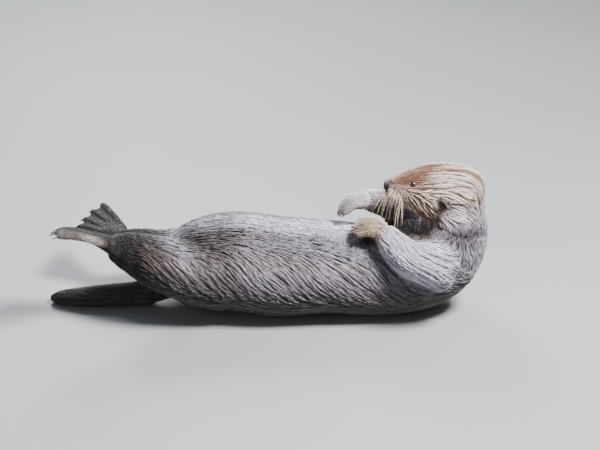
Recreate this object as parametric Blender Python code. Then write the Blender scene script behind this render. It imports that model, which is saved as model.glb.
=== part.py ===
"""A life-size sea otter lying on its back, head raised, forepaws working over its belly.

The body is modelled whole: lofted forms for trunk, neck, head, limbs and tail are fused into
one skin, which is then parted into its named pieces with thin cuts. Eyes, nose pad, ears and
claws are solids of their own. Units are metres, +Z is up and +X points from tail to head. The
animal lies on its back, so its left side faces -Y. The outline is that of the wet coat.
"""

import math

import bmesh
import bpy
import numpy as np
from mathutils import Matrix, Vector
from mathutils.bvhtree import BVHTree

# Driving dimensions of the animal, a small adult female of about 1.1 m from nose to tail tip.
BELLY_HEIGHT = 0.180  # floor to the top of the belly
BELLY_WIDTH = 0.252
CHEST_HEIGHT = 0.165
CHEST_WIDTH = 0.226
TAIL_LENGTH = 0.270

# Where the head sits, and how it is turned.
HEAD_CENTRE = Vector((0.300, 0.0, 0.254))  # between the ears
HEAD_PITCH = math.radians(3)  # nose up from level

GAP = 0.0003  # between neighbouring solids
VOXEL = 0.0026  # grain of the fused skin
RING_POINTS = 28  # round each lofted form
EAR_POINTS = 12
NOSE_POINTS = 16
CLAW_POINTS = 6
SINK = 0.005  # how far the soft back is pressed below its round outline, which makes the flats

EYE_RADIUS = 0.0064
EYE_DEPTH = 0.62  # how far its centre lies under the coat, in radii
EYE_FORWARD, EYE_UP = 0.0808, 0.0190  # in the head's frame
EAR_FORWARD, EAR_UP = 0.0315, -0.0005
EAR_LENGTH = 0.022

BODY_TRIANGLES = 3900  # trunk, neck, head, legs, feet and tail before their cuts
ARM_TRIANGLES = 650
TOE_SOFTNESS = 0.12
HEAD_THINNING = 0.93  # as weights, where toes and fingers have 1
TRUNK_THINNING = 0.03  # more than on the head
THINNING_FACTOR = 0.006

FUR_BROWN = (0.085, 0.068, 0.062, 1)
FUR_PALE = (0.52, 0.42, 0.34, 1)
FUR_FOOT = (0.040, 0.032, 0.030, 1)
NOSE_BLACK = (0.030, 0.024, 0.024, 1)
EYE_BLACK = (0.010, 0.008, 0.007, 1)
CLAW_HORN = (0.16, 0.12, 0.09, 1)


# ---------------------------------------------------------------- helpers


def clear_scene():
    for obj in list(bpy.data.objects):
        bpy.data.objects.remove(obj, do_unlink=True)


def material(name, colour, roughness):
    made = bpy.data.materials.get(name)
    if made is None:
        made = bpy.data.materials.new(name)
        made.use_nodes = True
        shader = made.node_tree.nodes["Principled BSDF"]
        shader.inputs["Base Color"].default_value = colour
        shader.inputs["Roughness"].default_value = roughness
        shader.inputs["Metallic"].default_value = 0.0
        made.diffuse_color = colour
    return made


def mesh_object(name, bm):
    """Links a new object that holds this bmesh, and frees the bmesh."""
    bmesh.ops.recalc_face_normals(bm, faces=bm.faces)
    mesh = bpy.data.meshes.new(name)
    bm.to_mesh(mesh)
    bm.free()
    obj = bpy.data.objects.new(name, mesh)
    bpy.context.scene.collection.objects.link(obj)
    return obj


def spline_rows(rows, steps):
    """Rows of numbers read from a Catmull-Rom curve through the given rows, steps to a span."""
    rows = np.array(rows, float)
    padded = np.vstack([2 * rows[0] - rows[1], rows, 2 * rows[-1] - rows[-2]])
    out = []
    for i in range(len(rows) - 1):
        before, start, end, after = padded[i : i + 4]
        for t in np.arange(steps) / steps:
            out.append(
                0.5
                * (
                    2 * start
                    + (end - before) * t
                    + (2 * before - 5 * start + 4 * end - after) * t**2
                    + (3 * start - before - 3 * end + after) * t**3
                )
            )
    out.append(rows[-1])
    return np.array(out)


def loft(name, stations, side=(0, 1, 0), steps=4, fullness=2.0, points=RING_POINTS):
    """A closed form through stations (x, y, z, half width, rise, drop).

    The width runs along side, and rise and drop are measured at right angles to it and to the
    path: rise on the side of side x path. Fullness is the power of the rings' superellipse.
    """
    rows = spline_rows(stations, steps)
    centres = rows[:, :3]
    tangents = np.gradient(centres, axis=0)
    bm = bmesh.new()
    rings = []
    turn = np.linspace(0, 2 * np.pi, points, endpoint=False)
    power = 2 / fullness
    across = np.sign(np.cos(turn)) * np.abs(np.cos(turn)) ** power
    upward = np.sign(np.sin(turn)) * np.abs(np.sin(turn)) ** power
    for centre, tangent, (wide, rise, drop) in zip(centres, tangents, rows[:, 3:]):
        path = Vector(tangent).normalized()
        beside = (Vector(side) - path * Vector(side).dot(path)).normalized()
        over = beside.cross(path)
        ring = []
        for a, u in zip(across, upward):
            reach = rise if u > 0 else drop
            ring.append(bm.verts.new(Vector(centre) + beside * (a * wide) + over * (u * reach)))
        rings.append(ring)
    for ring, following in zip(rings, rings[1:]):
        for i in range(points):
            j = (i + 1) % points
            bm.faces.new((ring[i], ring[j], following[j], following[i]))
    for ring in (rings[0], rings[-1]):
        tip = bm.verts.new(sum((v.co for v in ring), Vector()) / points)
        for i in range(points):
            bm.faces.new((ring[i], ring[(i + 1) % points], tip))
    return mesh_object(name, bm)


def ellipsoid(name, centre, radii, turned=Matrix.Identity(3), segments=24):
    """A ball stretched to three radii along the turned axes."""
    bm = bmesh.new()
    bmesh.ops.create_uvsphere(bm, u_segments=segments, v_segments=segments // 2, radius=1)
    shape = Matrix.Translation(centre) @ turned.to_4x4() @ Matrix.Diagonal((*radii, 1))
    bmesh.ops.transform(bm, matrix=shape, verts=bm.verts)
    return mesh_object(name, bm)


def apply_modifiers(obj):
    """Replaces the object's mesh by the one its modifiers make."""
    graph = bpy.context.evaluated_depsgraph_get()
    mesh = bpy.data.meshes.new_from_object(obj.evaluated_get(graph))
    obj.modifiers.clear()
    obj.data = mesh


def fused(name, forms):
    """One closed skin round all the forms, which are used up."""
    bm = bmesh.new()
    for form in forms:
        form.data.transform(form.matrix_world)
        bm.from_mesh(form.data)
        bpy.data.objects.remove(form, do_unlink=True)
    obj = mesh_object(name, bm)
    remesh = obj.modifiers.new("skin", "REMESH")
    remesh.mode = "VOXEL"
    remesh.voxel_size = VOXEL
    apply_modifiers(obj)
    return obj


def boolean(obj, other, operation):
    cut = obj.modifiers.new("cut", "BOOLEAN")
    cut.operation = operation
    cut.solver = "EXACT"
    cut.object = other
    apply_modifiers(obj)


def copied(obj, name):
    other = bpy.data.objects.new(name, obj.data.copy())
    bpy.context.scene.collection.objects.link(other)
    return other


def grown(obj, name, by):
    """A copy whose surface stands this far outside the original's."""
    other = copied(obj, name)
    bm = bmesh.new()
    bm.from_mesh(other.data)
    bm.normal_update()
    moves = [v.normal * by for v in bm.verts]
    for vert, move in zip(bm.verts, moves):
        vert.co += move
    bm.to_mesh(other.data)
    bm.free()
    return other


def discard(*objects):
    for obj in objects:
        bpy.data.objects.remove(obj, do_unlink=True)


# ---------------------------------------------------------------- body forms

HEAD_FRAME = Matrix.Translation(HEAD_CENTRE) @ Matrix(
    (  # columns: nose, the animal's left, crown
        (-math.cos(HEAD_PITCH), 0, math.sin(HEAD_PITCH)),
        (0, -1, 0),
        (math.sin(HEAD_PITCH), 0, math.cos(HEAD_PITCH)),
    )
).to_4x4()


def in_head(forward, left, up):
    """A point given in the head's own frame."""
    return HEAD_FRAME @ Vector((forward, left, up))


def trunk_form():
    """Rump to shoulders, lying on its back, then the neck turning up to the head."""
    belly = BELLY_HEIGHT / 2 + SINK / 2
    chest = CHEST_HEIGHT / 2 + SINK / 2
    stations = (
        (-0.276, 0, 0.088, 0.030, 0.028, 0.030),
        (-0.255, 0, 0.090, 0.078, 0.066, 0.062),
        (-0.205, 0, 0.092, 0.106, 0.0865, 0.088),
        (-0.130, 0, 0.095, 0.121, 0.0880, 0.098),
        (-0.040, 0, belly - SINK, BELLY_WIDTH / 2, belly, belly),
        (0.050, 0, 0.084, 0.119, 0.0815, 0.089),
        (0.140, 0, chest - SINK, CHEST_WIDTH / 2, chest, chest),
        (0.215, 0, 0.088, 0.111, 0.088, 0.092),
        (0.276, 0, 0.111, 0.100, 0.084, 0.086),
        (0.306, 0, 0.155, 0.082, 0.072, 0.070),
        (0.310, 0, 0.205, 0.068, 0.062, 0.062),
        (0.302, 0, 0.250, 0.052, 0.050, 0.052),
    )
    return loft("trunk_form", stations, fullness=2.15)


def head_forms():
    """Skull with its coat, cheeks, whisker pads, bridge, chin and the rolls of the neck."""
    profile = (
        # forward, half width, crown, throat
        (-0.066, 0.022, 0.020, 0.020),
        (-0.055, 0.042, 0.038, 0.040),
        (-0.026, 0.0560, 0.0510, 0.052),
        (0.012, 0.0600, 0.0530, 0.053),
        (0.046, 0.0575, 0.0500, 0.051),
        (0.072, 0.0500, 0.0425, 0.045),
        (0.092, 0.0420, 0.0320, 0.038),
        (0.110, 0.0345, 0.0220, 0.030),
        (0.123, 0.0260, 0.0145, 0.022),
        (0.131, 0.0140, 0.0085, 0.012),
    )
    stations = [(f, 0, 0, wide, up, down) for f, wide, up, down in profile]
    skull = loft("skull_form", stations, side=(0, -1, 0), fullness=2.1)
    skull.matrix_world = HEAD_FRAME
    forms = [skull]
    turned = HEAD_FRAME.to_3x3()
    for sign in (-1, 1):
        cheek = in_head(0.036, sign * 0.026, -0.016)
        pad = in_head(0.104, sign * 0.0165, -0.0090)
        forms += [
            ellipsoid("cheek_form", cheek, (0.050, 0.036, 0.038), turned),
            ellipsoid("pad_form", pad, (0.0270, 0.0225, 0.0200), turned),
        ]
    forms += [
        ellipsoid("bridge_form", in_head(0.102, 0, 0.0060), (0.034, 0.0200, 0.0155), turned),
        ellipsoid("chin_form", in_head(0.092, 0, -0.0250), (0.027, 0.0230, 0.0140), turned),
        ellipsoid("nape_form", (0.330, 0, 0.200), (0.042, 0.060, 0.076)),
    ]
    return forms


# Shoulder, upper arm, elbow, forearm and wrist of each arm, then the knuckles and finger tips.
# The near, left arm lies along the chest with the paw on the belly. The far one arches over.
ARMS = {
    "left": {
        "stations": (
            (0.282, -0.070, 0.115, 0.050, 0.050, 0.050),
            (0.250, -0.094, 0.138, 0.043, 0.043, 0.043),
            (0.212, -0.101, 0.153, 0.036, 0.036, 0.036),
            (0.183, -0.078, 0.173, 0.032, 0.030, 0.030),
            (0.166, -0.057, 0.189, 0.025, 0.021, 0.021),
        ),
        "wrist": Vector((0.166, -0.057, 0.189)),
        "knuckles": Vector((0.134, -0.044, 0.1965)),
        "tips": Vector((0.104, -0.040, 0.186)),
        "spread": Vector((0.10, 1.0, 0.26)),
    },
    "right": {
        "stations": (
            (0.282, 0.070, 0.115, 0.050, 0.050, 0.050),
            (0.252, 0.090, 0.140, 0.043, 0.043, 0.043),
            (0.215, 0.094, 0.164, 0.036, 0.036, 0.036),
            (0.170, 0.068, 0.195, 0.030, 0.028, 0.028),
            (0.135, 0.046, 0.213, 0.024, 0.020, 0.020),
        ),
        "wrist": Vector((0.135, 0.046, 0.213)),
        "knuckles": Vector((0.104, 0.035, 0.213)),
        "tips": Vector((0.078, 0.029, 0.191)),
        "spread": Vector((-0.10, 1.0, -0.05)),
    },
}
FINGERS = 5
FINGER_RADIUS = 0.0085
PALM_HALF_WIDTH = 0.0265


def finger_line(arm, number):
    """Root and tip of a finger: they lie side by side across the paw, the middle one longest."""
    along = arm["tips"] - arm["knuckles"]
    across = (arm["spread"] - along * (arm["spread"].dot(along) / along.length_squared)).normalized()
    place = (number - (FINGERS - 1) / 2) / ((FINGERS - 1) / 2)
    root = arm["knuckles"] + across * (place * (PALM_HALF_WIDTH - FINGER_RADIUS))
    tip = arm["tips"] + across * (place * PALM_HALF_WIDTH * 0.82) - along * (0.20 * place**2)
    return root, tip


def arm_forms(arm):
    """One arm with its mitten-like paw, whose five fingers only part at their tips."""
    forms = [loft("arm_form", arm["stations"])]
    wrist, knuckles, tips = arm["wrist"], arm["knuckles"], arm["tips"]
    palm = [
        (*wrist, 0.022, 0.018, 0.018),
        (*wrist.lerp(knuckles, 0.5), PALM_HALF_WIDTH - 0.001, 0.0165, 0.0165),
        (*knuckles, PALM_HALF_WIDTH, 0.0145, 0.0145),
        (*knuckles.lerp(tips, 0.62), PALM_HALF_WIDTH - 0.003, 0.0095, 0.0095),
        (*knuckles.lerp(tips, 0.80), PALM_HALF_WIDTH - 0.009, 0.0050, 0.0050),
    ]
    forms.append(loft("palm_form", palm, side=tuple(arm["spread"])))
    for number in range(FINGERS):
        root, tip = finger_line(arm, number)
        middle = root.lerp(tip, 0.6)
        rows = [
            (*root, FINGER_RADIUS, FINGER_RADIUS, FINGER_RADIUS),
            (*middle, FINGER_RADIUS, 0.0085, 0.0085),
            (*tip, 0.0058, 0.0055, 0.0055),
        ]
        forms.append(loft("finger_form", rows))
    return forms


# Each hind leg runs inside the loose skin to the ankle. The foot is a webbed flipper whose
# outer toe is the longest. The left foot points back and up, the right one is splayed outward.
LEGS = {
    "left": {
        "stations": (
            (-0.150, -0.052, 0.092, 0.074, 0.074, 0.074),
            (-0.225, -0.066, 0.108, 0.064, 0.062, 0.062),
            (-0.290, -0.068, 0.132, 0.055, 0.052, 0.052),
            (-0.340, -0.063, 0.151, 0.040, 0.038, 0.038),
            (-0.372, -0.062, 0.161, 0.026, 0.024, 0.024),
        ),
        "heel": Vector((-0.360, -0.060, 0.158)),
        "along": Vector((-0.835, -0.325, 0.440)),
        "top": Vector((0.300, 0.300, 0.900)),
        "outward": -1,
    },
    "right": {
        "stations": (
            (-0.150, 0.052, 0.090, 0.074, 0.074, 0.074),
            (-0.225, 0.062, 0.087, 0.060, 0.056, 0.057),
            (-0.288, 0.062, 0.091, 0.048, 0.044, 0.045),
            (-0.334, 0.058, 0.106, 0.036, 0.034, 0.035),
            (-0.366, 0.062, 0.112, 0.026, 0.024, 0.024),
        ),
        "heel": Vector((-0.354, 0.062, 0.111)),
        "along": Vector((-0.660, 0.660, 0.120)),
        "top": Vector((0.100, -0.200, 0.950)),
        "outward": 1,
    },
}
TOE_LENGTHS = (0.112, 0.122, 0.132, 0.146, 0.158)  # inner to outer, from the heel
TOE_FAN = (26, 15, 4, -7, -17)  # degrees towards the inner side
TOE_RADII = (0.0066, 0.0070, 0.0074, 0.0078, 0.0084)
WEB_HALF_THICKNESS = 0.0036


def foot_axes(leg):
    """The foot's own directions: along its length, towards its inner side, out of its top."""
    along = leg["along"].normalized()
    top = (leg["top"] - along * leg["top"].dot(along)).normalized()
    inner = along.cross(top) * (1 if leg["outward"] < 0 else -1)
    if inner.y * leg["outward"] > 0:
        inner.negate()
    return along, inner, top


def toe_points(leg, number):
    """The middle line of one toe, heel to tip, arched a little."""
    along, inner, top = foot_axes(leg)
    fan = math.radians(TOE_FAN[number])
    straight = along * math.cos(fan) + inner * math.sin(fan)
    start = leg["heel"] + inner * (0.010 * (2 - number) / 2)
    length = TOE_LENGTHS[number]
    arch = ((0.22, 0.002), (0.50, 0.004), (0.78, 0.002), (0.93, -0.0025), (1.0, -0.006))
    return [start + straight * (length * share) + top * rise for share, rise in arch]


def leg_forms(leg):
    """One hind leg and its flipper: heel, five toes and the web between them."""
    forms = [loft("leg_form", leg["stations"])]
    along, inner, top = foot_axes(leg)
    heel = leg["heel"]
    instep = [
        (*(heel - along * 0.012), 0.016, 0.018, 0.018),
        (*(heel + along * 0.012), 0.023, 0.019, 0.018),
        (*(heel + along * 0.045 + top * 0.002), 0.027, 0.013, 0.012),
        (*(heel + along * 0.072 + top * 0.002), 0.030, 0.0085, 0.008),
        (*(heel + along * 0.090), 0.026, 0.005, 0.004),
    ]
    forms.append(loft("instep_form", instep, side=tuple(inner)))
    lines = [toe_points(leg, number) for number in range(len(TOE_LENGTHS))]
    for line, radius in zip(lines, TOE_RADII):
        swell = (1.15, 1.0, 0.95, 0.90, 0.55)
        rows = [(*p, radius * s, radius * s, radius * s) for p, s in zip(line, swell)]
        forms.append(loft("toe_form", rows, side=tuple(inner)))
    for first, second in zip(lines, lines[1:]):
        forms.append(web_form(first, second, top))
    return forms


def web_form(first, second, top):
    """The skin between two toes: a thin plate from the instep almost to their tips."""
    bm = bmesh.new()
    edge = top * WEB_HALF_THICKNESS
    shares = (0.0, 0.35, 0.7, 0.93)
    layers = []
    for lift in (edge, -edge):
        rows = []
        for share in shares:
            reach = share * (len(first) - 1)
            low = min(int(reach), len(first) - 2)
            a = first[low].lerp(first[low + 1], reach - low)
            b = second[low].lerp(second[low + 1], reach - low)
            middle = a.lerp(b, 0.5) - (a - first[0]) * (0.06 * share)
            rows.append([bm.verts.new(p + lift) for p in (a, middle, b)])
        layers.append(rows)
    upper, lower = layers
    last = len(shares) - 1
    for i in range(last):
        for j in range(2):
            bm.faces.new((upper[i][j], upper[i][j + 1], upper[i + 1][j + 1], upper[i + 1][j]))
            bm.faces.new((lower[i][j], lower[i + 1][j], lower[i + 1][j + 1], lower[i][j + 1]))
        for j in (0, 2):
            bm.faces.new((upper[i][j], upper[i + 1][j], lower[i + 1][j], lower[i][j]))
    for i in (0, last):
        for j in range(2):
            bm.faces.new((upper[i][j], upper[i][j + 1], lower[i][j + 1], lower[i][j]))
    return mesh_object("web_form", bm)


def tail_form():
    """The flat, muscular tail, laid on the floor."""
    base, tip = -0.245, -0.245 - TAIL_LENGTH
    stations = (
        (base + 0.030, 0, 0.072, 0.050, 0.034, 0.034),
        (base - 0.020, 0, 0.047, 0.043, 0.027, 0.027),
        (base - 0.070, 0, 0.028, 0.038, 0.021, 0.022),
        (base - 0.130, 0.002, 0.021, 0.035, 0.019, 0.020),
        (base - 0.190, 0.004, 0.0165, 0.031, 0.016, 0.0185),
        (base - 0.240, 0.007, 0.0130, 0.023, 0.012, 0.0150),
        (tip + 0.004, 0.009, 0.0100, 0.009, 0.006, 0.0090),
    )
    return loft("tail_form", stations, fullness=2.2)


# ---------------------------------------------------------------- solids from the forms


def skin_of(name, forms, triangles, softness, rounds=12):
    """The forms as one relaxed skin of about this many triangles.

    Softness, a function of a point, says how much the skin is relaxed there. Toes and fingers,
    which are relaxed least, would take most of the triangles, so they are thinned hardest, and
    the trunk is thinned a little harder than the head.
    """
    obj = fused(name, forms)
    soft = obj.vertex_groups.new(name="soft")
    thinned = obj.vertex_groups.new(name="thinned")
    for vert in obj.data.vertices:
        share = softness(vert.co)
        soft.add([vert.index], share, "REPLACE")
        hard = 1.0 if share <= TOE_SOFTNESS else HEAD_THINNING + TRUNK_THINNING * (share == 1.0)
        thinned.add([vert.index], hard, "REPLACE")
    relax = obj.modifiers.new("relax", "SMOOTH")
    relax.factor = 0.5
    relax.iterations = rounds
    relax.vertex_group = soft.name
    apply_modifiers(obj)
    obj.data.calc_loop_triangles()
    thin = obj.modifiers.new("thin", "DECIMATE")
    thin.ratio = triangles / len(obj.data.loop_triangles)
    thin.vertex_group = thinned.name
    thin.vertex_group_factor = THINNING_FACTOR
    apply_modifiers(obj)
    obj.vertex_groups.clear()
    return obj


def keep_largest(obj):
    """Drops the crumbs that a Boolean leaves beside the main body."""
    bm = bmesh.new()
    bm.from_mesh(obj.data)
    left = set(bm.verts)
    islands = []
    while left:
        reached = {left.pop()}
        island = set(reached)
        while reached:
            vert = reached.pop()
            for edge in vert.link_edges:
                other = edge.other_vert(vert)
                if other not in island:
                    island.add(other)
                    reached.add(other)
        left -= island
        islands.append(island)
    islands.sort(key=len)
    for island in islands[:-1]:
        bmesh.ops.delete(bm, geom=list(island), context="VERTS")
    bm.to_mesh(obj.data)
    bm.free()


def trimmed(obj, *neighbours):
    """The object without what its neighbours hold, and a gap's width clear of them."""
    for neighbour in neighbours:
        cutter = grown(neighbour, "cutter", GAP)
        boolean(obj, cutter, "DIFFERENCE")
        discard(cutter)
    keep_largest(obj)
    return obj


def parted(obj, name, point, normal):
    """Cuts off what lies beyond the plane as a new object, and leaves a gap at the cut."""
    beyond = copied(obj, name)
    normal = Vector(normal).normalized()
    for piece, side in ((obj, -1), (beyond, 1)):
        bm = bmesh.new()
        bm.from_mesh(piece.data)
        cut = bmesh.ops.bisect_plane(
            bm,
            geom=[*bm.verts, *bm.edges, *bm.faces],
            dist=1e-6,
            plane_co=Vector(point) + normal * (side * GAP / 2),
            plane_no=normal,
            clear_outer=side < 0,
            clear_inner=side > 0,
        )
        edges = [e for e in cut["geom_cut"] if isinstance(e, bmesh.types.BMEdge)]
        bmesh.ops.triangulate(bm, faces=bmesh.ops.contextual_create(bm, geom=edges)["faces"])
        bmesh.ops.recalc_face_normals(bm, faces=bm.faces)
        bm.to_mesh(piece.data)
        bm.free()
    return beyond


def surface_point(obj, start, direction):
    """Where a ray from outside meets the object, and the surface's outward direction there."""
    tree = BVHTree.FromObject(obj, bpy.context.evaluated_depsgraph_get())
    point, normal, _, _ = tree.ray_cast(Vector(start), Vector(direction).normalized())
    return point, normal


# ---------------------------------------------------------------- softness of each skin


def fade(distance, full, none):
    """1 within the full distance, 0 beyond the other, and even steps between."""
    return min(1.0, max(0.0, (none - distance) / (none - full)))


def body_softness(point):
    """Soft trunk, neck, legs and tail. The skull is firmer, muzzle and toes are firmest."""
    head = HEAD_FRAME.inverted() @ point
    if head.x > 0.02 and head.z > -0.06:
        return 0.75 - 0.40 * (1 - fade(head.x, 0.06, 0.105))
    for leg in LEGS.values():
        reach = point - leg["heel"]
        if reach.length < 0.19 and reach.dot(leg["along"].normalized()) > 0.012 and point.z > 0.07:
            return TOE_SOFTNESS
    return 1.0


def arm_softness(point):
    """Soft to the wrist, firm where the fingers part."""
    beyond = []
    for arm in ARMS.values():
        along = (arm["tips"] - arm["wrist"]).normalized()
        if (point - arm["knuckles"]).length < 0.07:
            beyond.append((point - arm["knuckles"]).dot(along))
    return TOE_SOFTNESS + (1 - TOE_SOFTNESS) * fade(max(beyond, default=-1), -0.010, 0.006)


# ---------------------------------------------------------------- eyes, ears, nose and claws


def eye(core, sign):
    """A ball set so deep that only its front stands in the lids."""
    outside = in_head(EYE_FORWARD, sign * 0.12, EYE_UP + 0.05)
    inside = in_head(EYE_FORWARD, 0, EYE_UP - 0.012)
    point, normal = surface_point(core, outside, inside - outside)
    bm = bmesh.new()
    bmesh.ops.create_icosphere(bm, subdivisions=2, radius=EYE_RADIUS)
    bmesh.ops.translate(bm, verts=bm.verts, vec=point - normal * (EYE_RADIUS * EYE_DEPTH))
    return mesh_object("eye_form", bm)


def ear(core, sign):
    """A small, thick, rolled flap, low on the side of the head and pointing down and back."""
    outside = in_head(EAR_FORWARD, sign * 0.15, EAR_UP)
    point, normal = surface_point(core, outside, in_head(EAR_FORWARD, 0, EAR_UP) - outside)
    turned = HEAD_FRAME.to_3x3()
    back = turned @ Vector((-0.62, sign * 0.62, -0.30))
    root = point - normal * 0.008
    rows = []
    for share, wide, thick, curl in (
        (0.0, 0.0080, 0.0050, 0.0),
        (0.35, 0.0100, 0.0042, 0.001),
        (0.70, 0.0092, 0.0034, 0.001),
        (0.92, 0.0058, 0.0026, -0.001),
        (1.0, 0.0026, 0.0016, -0.002),
    ):
        centre = root + back * ((EAR_LENGTH + 0.008) * share) + turned @ Vector((0, 0, curl))
        rows.append((*centre, wide, thick, thick))
    return loft("ear_form", rows, side=tuple(turned @ Vector((0.25, 0, 0.97))), steps=2,
                points=EAR_POINTS)


def nose():
    """The broad, bare nose pad, wider at its top than between the whisker pads."""
    rows = (
        (0.1140, 0, 0.0040, 0.0120, 0.0080, 0.0090),
        (0.1230, 0, 0.0050, 0.0160, 0.0098, 0.0118),
        (0.1310, 0, 0.0052, 0.0158, 0.0092, 0.0114),
        (0.1365, 0, 0.0042, 0.0112, 0.0062, 0.0084),
    )
    pad = loft("nose_form", rows, side=(0, -1, 0), steps=2, fullness=2.3, points=NOSE_POINTS)
    pad.data.transform(HEAD_FRAME)
    return pad


def claw(tip, along, down, size):
    """A short curved claw that stands out of a finger or toe tip."""
    rows = []
    for share, radius in ((0.0, 0.0024), (0.45, 0.0020), (0.8, 0.0014), (1.0, 0.0007)):
        bend = down * (size * 0.30 * share**2)
        rows.append((*(tip + along * (size * (share - 0.40)) + bend), radius, radius, radius))
    return loft("claw_form", rows, steps=1, points=CLAW_POINTS)


# ---------------------------------------------------------------- the whole animal


def split_islands(obj, name_of):
    """Makes each separate island of the mesh an object named by name_of its middle."""
    bm = bmesh.new()
    bm.from_mesh(obj.data)
    made = {}
    while bm.verts:
        bm.verts.ensure_lookup_table()
        island, reached = {bm.verts[0]}, [bm.verts[0]]
        while reached:
            for edge in reached.pop().link_edges:
                for vert in edge.verts:
                    if vert not in island:
                        island.add(vert)
                        reached.append(vert)
        middle = sum((v.co for v in island), Vector()) / len(island)
        piece = bmesh.new()
        copies = {vert: piece.verts.new(vert.co) for vert in island}
        for face in {f for v in island for f in v.link_faces}:
            piece.faces.new([copies[v] for v in face.verts])
        name = name_of(middle)
        made[name] = mesh_object(name, piece)
        bmesh.ops.delete(bm, geom=list(island), context="VERTS")
    bm.free()
    discard(obj)
    return made


def hind_piece(middle):
    """Which piece behind the hips has its middle here."""
    if abs(middle.y) < 0.03:
        return "tail"
    return "leg_left" if middle.y < 0 else "leg_right"


def finished(obj, name, look):
    """Names a solid, gives it its material, and sets its origin at its middle."""
    obj.name = name
    obj.data.name = name
    obj.data.materials.clear()
    obj.data.materials.append(look)
    corners = [Vector(c) for c in obj.bound_box]
    middle = (corners[0] + corners[6]) / 2
    obj.data.transform(Matrix.Translation(-middle))
    obj.location = middle
    obj.data.shade_smooth()
    obj.data.set_sharp_from_angle(angle=math.radians(50))
    return obj


def body_skin():
    """Trunk, neck, head, legs, feet and tail as one skin, pressed flat where it lies."""
    forms = [trunk_form(), *head_forms(), tail_form()]
    for leg in LEGS.values():
        forms += leg_forms(leg)
    body = skin_of("body", forms, BODY_TRIANGLES, body_softness)
    below = parted(body, "below", (0, 0, -GAP / 2), (0, 0, -1))
    discard(below)
    return body


def claws_of(side, foot, paw):
    """Claws on the toe and finger tips of one side, kept where they stand out of the skin."""
    made = {}
    leg, arm = LEGS[side], ARMS[side]
    _, _, top = foot_axes(leg)
    for number in range(len(TOE_LENGTHS)):
        line = toe_points(leg, number)
        along = (line[-1] - line[-2]).normalized()
        made[f"claw_hind_{side}_{number + 1}"] = trimmed(claw(line[-1], along, -top, 0.014), foot)
    palm = (arm["tips"] - arm["knuckles"]).normalized()
    under = palm.cross(arm["spread"]).normalized()
    under = under if under.z < 0 else -under
    for number in range(FINGERS):
        root, tip = finger_line(arm, number)
        along = (tip - root).normalized()
        made[f"claw_fore_{side}_{number + 1}"] = trimmed(claw(tip, along, under, 0.010), paw)
    return made


def main():
    clear_scene()
    pelt = material("pelt_brown", FUR_BROWN, 0.45)
    pale = material("pelt_pale", FUR_PALE, 0.5)
    sole = material("foot_pelt", FUR_FOOT, 0.4)
    horn = material("claw_horn", CLAW_HORN, 0.35)
    nose_skin = material("nose_skin", NOSE_BLACK, 0.3)
    eye_gloss = material("eye_gloss", EYE_BLACK, 0.05)

    body = body_skin()
    pieces = {}
    for side in LEGS:
        arm = skin_of("arm_skin", arm_forms(ARMS[side]), ARM_TRIANGLES, arm_softness, rounds=16)
        trimmed(arm, body)
        wrist, along = ARMS[side]["wrist"], ARMS[side]["knuckles"] - ARMS[side]["wrist"]
        paw = parted(arm, "paw", wrist + along * 0.15, along)
        pieces[f"arm_{side}"], pieces[f"paw_{side}"] = arm, paw

    chest = parted(body, "chest", (0.125, 0, 0.09), (1, 0, 0))
    head = parted(chest, "head", (0.300, 0, 0.206), (-0.10, 0, 0.995))
    neck = parted(chest, "neck", (0.290, 0, 0.142), (0.45, 0, 0.89))
    hips = parted(body, "hips", (-0.120, 0, 0.09), (-1, 0, 0))
    behind = parted(hips, "behind", (-0.297, 0, 0.09), (-1, 0, 0))
    pieces.update(split_islands(behind, hind_piece))
    for side, leg in LEGS.items():
        along = leg["along"].normalized()
        pieces[f"foot_{side}"] = parted(
            pieces[f"leg_{side}"], "foot", leg["heel"] + along * 0.006, along
        )
    pieces.update(belly=body, chest=chest, neck=neck, hips=hips)

    for side, sign in (("left", 1), ("right", -1)):
        ball = eye(head, sign)
        trimmed(head, ball)
        finished(ball, f"eye_{side}", eye_gloss)
        finished(trimmed(ear(head, sign), head, neck), f"ear_{side}", pale)
        for name, one in claws_of(side, pieces[f"foot_{side}"], pieces[f"paw_{side}"]).items():
            finished(one, name, horn)
    pad = nose()
    trimmed(head, pad)
    finished(pad, "nose", nose_skin)
    finished(head, "head", pale)
    for name, piece in pieces.items():
        finished(piece, name, sole if name.startswith("foot") else pelt)

    bpy.context.view_layer.update()
    solids = [obj for obj in bpy.data.objects if obj.type == "MESH"]
    corners = np.array([obj.matrix_world @ Vector(c) for obj in solids for c in obj.bound_box])
    low, high = corners.min(axis=0), corners.max(axis=0)
    otter = bpy.data.objects.new("sea_otter", None)
    bpy.context.scene.collection.objects.link(otter)
    otter.empty_display_size = 0.1
    for obj in solids:
        obj.parent = otter
    otter.location = (-(low[0] + high[0]) / 2, -(low[1] + high[1]) / 2, 0)


main()
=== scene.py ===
"""Looks of the sea otter: one skin, a coat of combed wet locks, a face, and a plain studio.

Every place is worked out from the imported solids. The skin lies inside them by the coat's depth,
and the locks of the coat fill that depth again. Lengths are metres and angles degrees.
"""

import math

import bmesh
import bpy
import numpy as np
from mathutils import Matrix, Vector, noise
from mathutils.bvhtree import BVHTree
from mathutils.kdtree import KDTree


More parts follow.
